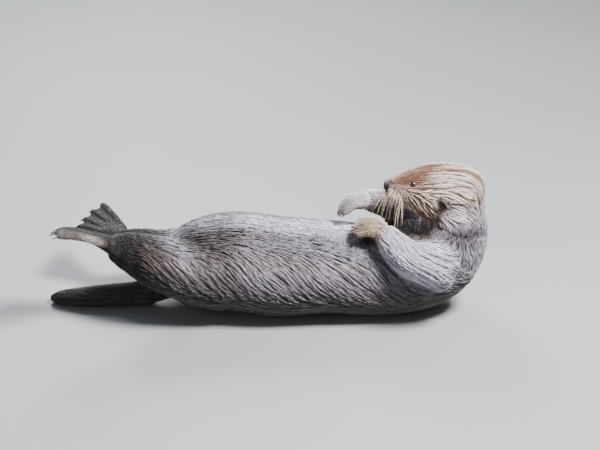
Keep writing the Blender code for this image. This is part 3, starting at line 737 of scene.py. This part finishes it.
def grow_locks(skin, fields, flow):
    """All locks of the coat, with what their material needs."""
    mesh = skin.data
    co, normals = coordinates(mesh), vertex_normals(mesh)
    tris, loops = triangles_of(mesh)
    face = face_fields(co, tris, fields, flow, normals)
    footprint = face["length"] * face["width"] * LOCK_COVER
    weight = face["area"] * face["layers"] / footprint
    weight *= np.where(face["normal"][:, 2] < -0.75, UNDERSIDE_SHARE, 1.0)
    faces, shares = sow(co, tris, weight)
    places = (co[tris[faces]] * shares[:, :, None]).sum(axis=1)
    uv = read(mesh.uv_layers["OFBake"].uv, "vector", width=2)
    roots = (uv[loops[faces]] * shares[:, :, None]).sum(axis=1)
    keep = ~bare(places, face["mouth"][faces])
    faces, places, roots = faces[keep], places[keep], roots[keep]
    count = len(faces)
    at_root = {key: values[faces] for key, values in face.items()}

    lengths = at_root["length"] * RANDOM.uniform(0.78, 1.22, count)
    widths = at_root["width"] * RANDOM.uniform(0.75, 1.25, count) * 1
    tree = BVHTree.FromPolygons(co.tolist(), tris.tolist())
    line, hit = walk(tree, face, places, faces, lengths)
    normal, way = face["normal"][hit], face["flow"][hit]
    side = unit(np.cross(normal, way))

    # Locks lean together into wet points, more tightly on the head.
    head = np.clip(at_root["head"], 0, 1)
    spacing = CLUMP_SPACING * np.clip(at_root["length"] / CLUMP_LENGTH, 0.2, 1.0)
    spacing *= 1 + 0.85 * at_root["head"]
    room = 1 / np.maximum(weight[faces] / at_root["area"], 1)
    shift, clump = clump_pull(places, at_root["flow"], at_root["normal"], spacing, room)
    stray = RANDOM.normal(0, 1, count) * 0.035 * lengths
    sideways = (shift * (0.8 + 0.1 * head))[:, None] * RINGS**1.15 + stray[:, None] * RINGS**1.5
    ridge = bell(shift, 0.3 * spacing)
    depth = at_root["depth"] * (1 - 0.6 * at_root["fold"])
    lift = 0.26 + 0.22 * head
    top = depth * (TOP_SHARE - lift + lift * ridge + RANDOM.uniform(-0.1, 0.1, count))
    rise = RING_RISE * top[:, None]
    rise[:, 0] = -ROOT_DEPTH
    line = line + side * sideways[:, :, None] + normal * rise[:, :, None]

    # Each ring has a left, a top and a right corner, and the tip is one more.
    across = unit(np.cross(normal, np.gradient(line, axis=1)))[:, :-1]
    half = (widths[:, None] * RING_WIDTH / 2)[:, :, None]
    tall = (np.minimum(widths * 0.42, depth * 0.6)[:, None] * RING_WIDTH)[:, :, None]
    rings = line[:, :-1]
    shape = np.empty((count, 3 * len(RING_WIDTH) + 1, 3))
    shape[:, 0:-1:3] = rings - across * half
    shape[:, 1:-1:3] = rings + normal[:, :-1] * tall
    shape[:, 2:-1:3] = rings + across * half
    shape[:, -1] = line[:, -1]
    shape[..., 2] = np.maximum(shape[..., 2], CAD_LOW.z + COAT_OVER_FLOOR)

    marks = np.stack([face[key][hit] for key in MARKS], axis=2)
    marks = ROOT_MARKS * marks[:, :1] + (1 - ROOT_MARKS) * marks
    marks = np.concatenate([np.repeat(marks[:, :-1], 3, axis=1), marks[:, -1:]], axis=1)
    tone_of_clump = RANDOM.random(clump.max() + 1)[clump]
    tone = 0.6 * tone_of_clump + 0.4 * RANDOM.random(count)
    root = np.clip(roots, PATCH, 1 - PATCH)
    return dict(
        shape=shape, marks=marks, tone=tone, ridge=ridge, root=root, width=widths, length=lengths
    )


def lock_faces():
    """Corner numbers of one lock's faces, underside first, and the tip's three last."""
    sides = ((2, 0), (0, 1), (1, 2))
    last, tip = 3 * (len(RING_WIDTH) - 1), 3 * len(RING_WIDTH)
    quads = [(a + i, a + j, a + 3 + j, a + 3 + i) for i, j in sides for a in range(0, last, 3)]
    return quads + [(last + i, last + j, tip) for i, j in sides]


def coat_piece(name, locks, chosen, look):
    """One object that holds the chosen locks."""
    part = {key: values[chosen] for key, values in locks.items()}
    count, corners = part["shape"].shape[:2]
    faces = lock_faces()
    loops_each = np.concatenate(faces)
    totals = np.tile([len(face) for face in faces], count)
    mesh = bpy.data.meshes.new(name)
    mesh.vertices.add(count * corners)
    write(mesh.vertices, "co", part["shape"])
    mesh.loops.add(count * len(loops_each))
    write(mesh.loops, "vertex_index", np.arange(count)[:, None] * corners + loops_each, np.int32)
    mesh.polygons.add(len(totals))
    write(mesh.polygons, "loop_start", np.cumsum(totals) - totals, np.int32)
    mesh.update(calc_edges=True)

    along = np.append(np.repeat(RINGS[:-1], 3), 1.0)
    across = np.append(np.tile((0.0, 0.5, 1.0), len(RING_WIDTH)), 0.5)
    patch = np.stack([across - 0.5, along - 0.5], axis=1) * PATCH
    seed = part["tone"][:, None] * 40
    crossways = seed + across * part["width"][:, None] * STRANDS_ACROSS
    lengthways = seed * 0.37 + along * part["length"][:, None] * STRANDS_ALONG
    strand = np.stack([crossways, lengthways], axis=2)
    for key, uv in (("OFBake", part["root"][:, None] + patch), ("Strand", strand)):
        write(mesh.uv_layers.new(name=key).uv, "vector", uv[:, loops_each])
    add_colour(mesh, "marks", part["marks"])
    fur = along, part["tone"][:, None], part["ridge"][:, None], 1.0
    add_colour(mesh, "fur", np.stack(np.broadcast_arrays(*fur), axis=2))
    mesh.shade_smooth()
    mesh.materials.append(look)
    return link(name, mesh)


def make_coat(skin, fields, flow, look):
    """The coat as objects of about equal size, each with locks from all over the animal."""
    locks = grow_locks(skin, fields, flow)
    count = len(locks["shape"])
    pieces = math.ceil(count / (PIECE_TRIANGLES // TRIANGLES_PER_LOCK))
    order = RANDOM.permutation(count)
    return [
        coat_piece(f"coat_{i + 1}", locks, np.sort(order[i::pieces]), look) for i in range(pieces)
    ]


def unwrap_skin(obj):
    """A map of the skin's own shape, on which the locks' patches have their places."""
    obj.data.uv_layers.new(name="OFBake")
    bpy.context.view_layer.objects.active = obj
    obj.select_set(True)
    bpy.ops.object.mode_set(mode="EDIT")
    bpy.ops.mesh.select_all(action="SELECT")
    bpy.ops.uv.smart_project(angle_limit=math.radians(66), island_margin=0.004)
    bpy.ops.object.mode_set(mode="OBJECT")
    obj.select_set(False)


# ---- materials


class Nodes:
    """Short ways to build a material's node tree."""

    def __init__(self, name):
        self.material = bpy.data.materials.new(name)
        self.material.use_nodes = True
        self.tree = self.material.node_tree
        self.shader = self.tree.nodes["Principled BSDF"]

    def feed(self, socket, value):
        if isinstance(value, bpy.types.NodeSocket):
            self.tree.links.new(value, socket)
        else:
            socket.default_value = value

    def add(self, kind, inputs=(), **settings):
        """A node with these settings, and its inputs fed by name or number."""
        node = self.tree.nodes.new("ShaderNode" + kind)
        for key, value in settings.items():
            setattr(node, key, value)
        for key, value in dict(inputs).items():
            self.feed(node.inputs[key], value)
        return node

    def maths(self, operation, *values):
        return self.add("Math", enumerate(values), operation=operation).outputs[0]

    def times(self, a, b):
        return self.maths("MULTIPLY", a, b)

    def mix(self, factor, a, b):
        inputs = {"Factor": factor, "A": a, "B": b}
        return self.add("Mix", inputs, data_type="RGBA").outputs["Result"]

    def ramp(self, value, low, high, to_low=0.0, to_high=1.0):
        limits = {"From Min": low, "From Max": high, "To Min": to_low, "To Max": to_high}
        inputs = {"Value": value, **limits}
        return self.add("MapRange", inputs, interpolation_type="SMOOTHSTEP").outputs["Result"]

    def noise(self, scale, detail, vector=None):
        """Noise in these coordinates, or in the object's own."""
        vector = self.place() if vector is None else vector
        inputs = {"Vector": vector, "Scale": scale, "Detail": detail, "Roughness": 0.55}
        return self.add("TexNoise", inputs).outputs["Fac"]

    def attribute(self, name):
        """Red, green, blue and alpha of an attribute of the points."""
        node = self.add("Attribute", attribute_name=name)
        parts = self.add("SeparateColor", {"Color": node.outputs["Color"]})
        return [*parts.outputs[:3], node.outputs["Alpha"]]

    def place(self):
        return self.add("TexCoord").outputs["Object"]

    def bump(self, height, distance, strength):
        inputs = {"Height": height, "Distance": distance, "Strength": strength}
        self.feed(self.shader.inputs["Normal"], self.add("Bump", inputs).outputs["Normal"])

    def surface(self, colour, roughness, specular=0.5, coat=0.0, coat_roughness=0.03):
        """Feeds the shader, with what is the same all over set on its own sockets."""
        for key, value in (
            ("Base Color", colour),
            ("Roughness", roughness),
            ("Specular IOR Level", specular),
            ("Coat Weight", coat),
            ("Coat Roughness", coat_roughness),
        ):
            self.feed(self.shader.inputs[key], value)


COLOURS = {  # deep in the coat, and at its tips
    "brown": ((0.013, 0.009, 0.008, 1), (0.062, 0.047, 0.044, 1)),
    # Silver: pale grizzled tips, tinted lilac as a painted reflection of sky light on wet fur.
    "silver": ((0.058, 0.047, 0.066, 1), (0.74, 0.68, 0.84, 1)),
    "dark": ((0.007, 0.005, 0.005, 1), (0.017, 0.013, 0.014, 1)),
    "cream": ((0.1, 0.038, 0.014, 1), (0.95, 0.83, 0.7, 1)),
    "orange": ((0.055, 0.017, 0.005, 1), (0.3, 0.143, 0.066, 1)),
}
MOUTH_COLOUR = (0.022, 0.012, 0.011, 1)


def markings(n, light):
    """The animal's colours, the same on skin and coat, from deep (light 0) to tips (light 1)."""
    head, orange, silver, dark = n.attribute("marks")
    patches = n.noise(14.0, 4.0)
    fine = n.noise(60.0, 3.0)
    drift = n.maths("MULTIPLY_ADD", patches, 0.6, n.times(fine, 0.4))
    uneven = n.ramp(drift, 0.3, 0.7, 0.65, 1.35)
    colour = n.mix(light, *COLOURS["brown"])
    layers = {"silver": silver, "dark": dark, "cream": n.times(head, 1.2), "orange": orange}
    for name, amount in layers.items():
        amount = n.maths("MAXIMUM", n.times(amount, uneven), 0.0)
        colour = n.mix(n.maths("MINIMUM", amount, 1.0), colour, n.mix(light, *COLOURS[name]))
    return colour


def coat_material():
    """Locks that pale towards their tips, with dark gaps between the wet points."""
    n = Nodes("wet_fur")
    along, tone, ridge, _ = n.attribute("fur")
    head, _, silver, dark = n.attribute("marks")
    gap = n.ramp(n.maths("MULTIPLY_ADD", silver, -0.5, head), 0.1, 0.8, 0.6, 0.12)
    light = n.times(n.ramp(along, 0.05, 0.85), n.ramp(ridge, 0.1, 0.9, gap, 1.0))
    light = n.times(light, n.ramp(tone, 0.0, 1.0, 0.68, 1.04))
    strands = n.noise(2.2, 2.0, n.add("UVMap", uv_map="Strand").outputs["UV"])
    light = n.times(light, n.ramp(strands, 0.35, 0.65, 0.8, 1.1))
    rough = n.maths("MULTIPLY_ADD", dark, 0.24, n.ramp(strands, 0.3, 0.7, 0.34, 0.48))
    n.surface(markings(n, light), rough, coat=0.12, coat_roughness=0.22)
    n.bump(strands, 0.0006, 0.6)
    return n.material


def skin_material():
    """Dull skin with the coat's markings, and dark in the mouth."""
    n = Nodes("skin")
    fine = n.noise(420.0, 3.0)
    broad = n.noise(90.0, 3.0)
    light = n.ramp(n.maths("MULTIPLY_ADD", broad, 0.5, n.times(fine, 0.5)), 0.3, 0.7)
    mouth = n.ramp(n.attribute("face")[0], 0.15, 0.7)
    colour = n.mix(mouth, markings(n, n.times(light, 0.55)), MOUTH_COLOUR)
    n.surface(colour, n.ramp(broad, 0.3, 0.7, 0.46, 0.62), specular=0.35)
    n.bump(fine, 0.0006, 0.7)
    return n.material


def plain_wet(name, deep, colour, scale, roughness, bump, coat=0.3):
    """Moist bare skin or horn: two colours broken up by noise, with a fine grain."""
    n = Nodes(name)
    grain = n.noise(scale, 4.0)
    broad = n.noise(scale * 0.2, 2.0)
    rough = n.ramp(grain, 0.3, 0.7, roughness, roughness * 1.4)
    n.surface(n.mix(n.ramp(broad, 0.3, 0.7), deep, colour), rough, coat=coat, coat_roughness=0.12)
    n.bump(grain, bump, 0.8)
    return n.material


def nose_material():
    """Pebbled dark leather."""
    n = Nodes("nose_leather")
    pebble = n.add("TexVoronoi", {"Vector": n.place(), "Scale": 900.0}).outputs["Distance"]
    broad = n.ramp(n.noise(160.0, 3.0), 0.35, 0.7)
    colour = n.mix(broad, (0.009, 0.006, 0.006, 1), (0.027, 0.017, 0.016, 1))
    rough = n.ramp(pebble, 0.1, 0.7, 0.46, 0.6)
    n.surface(colour, rough, specular=0.22, coat=0.05, coat_roughness=0.2)
    n.bump(pebble, 0.0003, 0.7)
    return n.material


def eye_material(centre, axis):
    """A dark brown iris round a wide black pupil, under a wet gloss."""
    n = Nodes("eye_wet")
    offset = n.add("VectorMath", {0: n.place(), 1: tuple(centre)}, operation="SUBTRACT").outputs[0]
    aligned = n.add("VectorMath", {0: offset, 1: tuple(axis)}, operation="DOT_PRODUCT")
    height = n.maths("DIVIDE", aligned.outputs["Value"], EYE_RADIUS)
    fibres = n.noise(1400.0, 3.0)
    iris = n.mix(fibres, (0.01, 0.005, 0.003, 1), (0.034, 0.016, 0.008, 1))
    colour = n.mix(n.ramp(height, 0.9, 0.93), iris, (0.002, 0.002, 0.002, 1))
    colour = n.mix(n.ramp(height, 0.66, 0.72), (0.01, 0.006, 0.005, 1), colour)
    n.surface(colour, n.ramp(fibres, 0.0, 1.0, 0.03, 0.07), coat=1.0, coat_roughness=0.02)
    return n.material


# ---- eyes, lids, nose, whiskers

EYE_RADIUS = 0.0064
EYE_ROWS, EYE_SEGMENTS = 17, 32
OPENING_HALF, OPENING_UP, OPENING_DOWN = 0.005, 0.004, 0.0034
LID_SEGMENTS = 64
LID_PROFILE = (  # reach beyond the opening, height over the ball, and how far it is on the skin
    (0.0, -0.0005, 0.0), (0.0, 0.0003, 0.0), (0.0003, 0.0006, 0.0), (0.0009, 0.0007, 0.0),
    (0.0016, 0.0005, 0.3), (0.0026, 0.0004, 0.8), (0.0038, 0.0002, 1.0), (0.0052, -0.001, 1.0),
)
NOSE_RINGS, NOSE_SEGMENTS = 40, 64
WHISKER_ROWS, WHISKER_COLUMNS = 4, 6  # on each side
WHISKER_POINTS = 12
WHISKER_RADIUS = 0.00027
WHISKER_ROOT = 0.001  # below the skin


def join_rings(bm, rings):
    """Faces between each ring of vertices and the next."""
    for upper, lower in zip(rings, rings[1:]):
        for j in range(len(upper)):
            k = (j + 1) % len(upper)
            bm.faces.new((upper[j], upper[k], lower[k], lower[j]))


def grid_mesh(name, rows):
    """A surface through rows of points, joined round, and closed at ends that are small."""
    bm = bmesh.new()
    verts = [[bm.verts.new(p) for p in row] for row in rows]
    width = len(rows[0])
    join_rings(bm, verts)
    for row in (verts[0], verts[-1]):
        if (row[0].co - row[width // 2].co).length < 0.001:
            tip = bm.verts.new(sum((v.co for v in row), Vector()) / width)
            for j in range(width):
                bm.faces.new((row[j], row[(j + 1) % width], tip))
    bmesh.ops.recalc_face_normals(bm, faces=bm.faces)
    return link_bmesh(name, bm)


def angles(count):
    """Even steps round a full turn."""
    return np.linspace(0, 2 * math.pi, count, endpoint=False)


def eye_axes(side):
    """Centre of the ball, and the ways it looks, to the nose, and up."""
    centre = middle(f"eye_{side}")
    outward = 1 if side == "left" else -1
    axis = unit(np.array([0.34, 0.78 * outward, 0.5]) @ HEAD_AXES)
    nose_way = unit(HEAD_AXES[0] - axis * (HEAD_AXES[0] @ axis))
    up_way = np.cross(axis, nose_way)
    return centre, axis, nose_way, up_way * (1 if up_way[2] > 0 else -1)


def make_eye(side, tree):
    """The eyeball, and the dark rims of its lids lying on it and running into the skin."""
    centre, axis, nose_way, up_way = eye_axes(side)

    def on_ball(angle, way, lift=0.0):
        """The place this far round from the middle of the pupil."""
        return centre + (EYE_RADIUS + lift) * (axis * math.cos(angle) + way * math.sin(angle))

    rows = []
    for i in range(EYE_ROWS):
        polar = math.pi * (i + 0.35) / (EYE_ROWS + 0.7)
        ways = [nose_way * math.cos(a) + up_way * math.sin(a) for a in angles(EYE_SEGMENTS)]
        rows.append([on_ball(polar, way) for way in ways])
    ball = grid_mesh(f"eyeball_{side}", rows)
    ball.data.materials.append(eye_material(centre, axis))

    lid_rows = []
    for extra, lift, to_skin in LID_PROFILE:
        row = []
        for a in angles(LID_SEGMENTS):
            c, s = math.cos(a), math.sin(a)
            high = OPENING_UP if s > 0 else OPENING_DOWN
            open_x = OPENING_HALF * c * (1 + 0.14 * max(c, 0) ** 6)
            open_y = high * s * (1 - 0.16 * abs(c)) - 0.0006 * c
            reach = math.hypot(open_x, open_y) + extra
            way = unit(nose_way * open_x + up_way * open_y)
            place = on_ball(min(reach / EYE_RADIUS, 1.45), way, lift)
            if to_skin:
                hit, hit_normal, _, _ = tree.find_nearest(Vector(place))
                on_skin = np.array(hit) + np.array(hit_normal) * (0.0006 + lift)
                place = place * (1 - to_skin) + on_skin * to_skin
            row.append(place)
        lid_rows.append(row)
    lids = grid_mesh(f"lids_{side}", lid_rows)
    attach(ball, "root")
    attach(lids, "root")
    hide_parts(f"eye_{side}")
    return lids


def nose_dents(left, up):
    """Depth of the nostrils, their side slits and the middle groove at a place on the pad."""
    x, y = abs(left) - 0.0066, up + 0.001
    nostril = 0.0052 * bell(x * 0.9 + y * 0.43, 0.0034) * bell(-x * 0.43 + y * 0.9, 0.0017)
    slit = 0.0036 * bell(abs(left) - 0.0118, 0.0034) * bell(up + 0.003, 0.001)
    groove = 0.0012 * bell(left, 0.0009) * ramp(-up, -0.001, 0.004)
    return nostril + slit + groove


def make_nose():
    """The bare nose pad with its two nostrils, in the place of the plain solid one."""
    low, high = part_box("nose")
    size = np.array(high - low) / 2
    centre = to_head(middle("nose"))
    rows = []
    for i in range(NOSE_RINGS):
        polar = math.pi * (i + 0.5) / NOSE_RINGS
        f, out = math.cos(polar), math.sin(polar)
        row = []
        for a in angles(NOSE_SEGMENTS):
            left = math.copysign(abs(math.cos(a)) ** 0.86, math.cos(a)) * out
            up = math.copysign(abs(math.sin(a)) ** 0.9, math.sin(a)) * out
            narrow = 1 - 0.3 * ramp(-up, 0.0, 1.0)
            front = size[0] * (0.82 if f > 0 else 0.96)
            place = np.array([f * front, left * size[1] * narrow, up * size[2] * 0.95])
            if f > 0:
                place[0] -= 0.0016 * ramp(up, 0.1, 1.0)
                place[0] -= nose_dents(place[1], place[2])
            row.append(from_head(centre + place))
        rows.append(row)
    pad = grid_mesh("nose_pad", rows)
    pad.data.materials.append(nose_material())
    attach(pad, "root")
    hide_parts("nose")


def make_whiskers(tree):
    """Stiff cream whiskers that hang wet from the pads."""
    bm = bmesh.new()
    for sign in (1, -1):
        for i in range(WHISKER_ROWS * WHISKER_COLUMNS):
            column, row = divmod(i, WHISKER_ROWS)
            share = column / WHISKER_COLUMNS
            spot = (
                0.121 - 0.026 * share + RANDOM.uniform(-0.001, 0.001),
                sign * (0.012 + 0.017 * share),
                -0.001 - 0.0046 * row + RANDOM.uniform(-0.0008, 0.0008),
            )
            root, normal, _, _ = tree.find_nearest(Vector(from_head(spot)))
            out = np.array(normal)
            length = RANDOM.uniform(0.055, 0.092) * (1 - 0.3 * share)
            fan = np.array([0.6 - 0.6 * share + RANDOM.normal(0, 0.14), 0.4 * sign, -0.6])
            way = unit(0.8 * out + fan @ HEAD_AXES)
            sag = RANDOM.uniform(0.1, 0.22)
            line = [np.array(root) - out * WHISKER_ROOT]
            for _ in range(WHISKER_POINTS - 1):
                way = unit(way + np.array([0, 0, -sag]))
                line.append(line[-1] + way * (length / (WHISKER_POINTS - 1)))
            thin_tube(bm, line, WHISKER_RADIUS)
    obj = link_bmesh("whiskers", bm)
    look = plain_wet("whisker", (0.62, 0.46, 0.28, 1), (0.92, 0.82, 0.64, 1), 300, 0.3, 0.0001)
    obj.data.materials.append(look)
    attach(obj, "root")


def thin_tube(bm, line, radius):
    """A tapering six-sided tube along a line of points."""
    line = np.array(line)
    ways = unit(np.gradient(line, axis=0))
    beside = unit(np.cross(ways, (0.31, 0.2, 0.93)))
    over = np.cross(ways, beside)
    sizes = radius * (1 - 0.85 * np.linspace(0, 1, len(line)))
    rings = [
        [bm.verts.new(p + (b * math.cos(a) + o * math.sin(a)) * r) for a in angles(6)]
        for p, b, o, r in zip(line, beside, over, sizes)
    ]
    join_rings(bm, rings)
    bm.faces.new(rings[-1])


# ---- the animal

skin, edges, fields, owner = make_skin()
unwrap_skin(skin)
skin_co, skin_normals = coordinates(skin.data), vertex_normals(skin.data)
flow = lie_of_hair(skin_co, skin_normals, edges, owner)
add_colour(skin.data, "marks", np.stack([fields[key] for key in MARKS], axis=1))
add_colour(skin.data, "face", np.stack([fields["mouth"]] * 4, axis=1))
skin.data.materials.clear()
skin.data.materials.append(skin_material())
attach(skin, "root")
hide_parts(*FLESH)

skin_tree = BVHTree.FromPolygons(skin_co.tolist(), triangles_of(skin.data)[0].tolist())
lid_look = plain_wet(
    "lid", (0.012, 0.008, 0.007, 1), (0.034, 0.021, 0.017, 1), 900, 0.42, 0.0003, 0.05
)
for side in SIDES:
    make_eye(side, skin_tree).data.materials.append(lid_look)
make_nose()
make_whiskers(skin_tree)

for piece in make_coat(skin, fields, flow, coat_material()):
    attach(piece, "root")

horn = plain_wet("horn", (0.012, 0.009, 0.008, 1), (0.046, 0.032, 0.025, 1), 500, 0.4, 0.0002, 0.1)
for name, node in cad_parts.items():
    if name.startswith("claw_"):
        for slot in node.material_slots:
            slot.material = horn


# ---- studio

TARGET = Vector((0.067, -0.024, 0.178))  # what camera and lights look at
CAMERA_ELEVATION = math.radians(25)
CAMERA_DISTANCE = 3.6
VIEW_WIDTH = 1.2


def aim(name, data, place):
    """Puts a light or a camera in its place, looking at the target."""
    obj = link(name, data)
    obj.location = place
    obj.rotation_mode = "QUATERNION"
    obj.rotation_quaternion = (TARGET - Vector(place)).to_track_quat("-Z", "Y")
    return obj


def add_light(name, place, size, power, colour):
    light = bpy.data.lights.new(name, "AREA")
    light.shape = "DISK"
    light.size = size
    light.energy = power
    light.color = colour
    aim(name, light, place)


def studio():
    bpy.ops.mesh.primitive_plane_add(size=12, location=(0, 0, CAD_LOW.z - 0.0002))
    floor = bpy.context.object
    floor.name = "studio_floor"
    n = Nodes("studio_floor")
    soft = n.noise(3.0, 2.0)
    n.surface(n.mix(soft, (0.21, 0.22, 0.228, 1), (0.225, 0.235, 0.243, 1)), 0.6)
    floor.data.materials.append(n.material)
    floor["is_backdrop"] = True

    add_light("key", (1.3, -0.7, 2.3), 0.8, 340, (1.0, 0.985, 0.96))
    add_light("back", (-0.6, 2.2, 1.7), 1.4, 120, (0.93, 0.96, 1.0))
    add_light("fill", (-1.2, -2.4, 1.2), 2.0, 14, (1.0, 0.98, 0.96))
    world = bpy.context.scene.world = bpy.data.worlds.new("studio")
    world.use_nodes = True
    background = world.node_tree.nodes["Background"]
    background.inputs["Color"].default_value = (0.8, 0.86, 0.95, 1)
    background.inputs["Strength"].default_value = 0.3

    camera = bpy.data.cameras.new("camera")
    camera.sensor_width = 36
    camera.lens = 36 * CAMERA_DISTANCE / VIEW_WIDTH
    back = Vector((0, -math.cos(CAMERA_ELEVATION), math.sin(CAMERA_ELEVATION)))
    bpy.context.scene.camera = aim("camera", camera, TARGET + back * CAMERA_DISTANCE)


studio()

SHOWN_LOW, SHOWN_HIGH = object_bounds()
boxes = {"cad": [CAD_LOW, CAD_HIGH], "shown": [SHOWN_LOW, SHOWN_HIGH]}
{k: [list(p) for p in v] for k, v in boxes.items()}
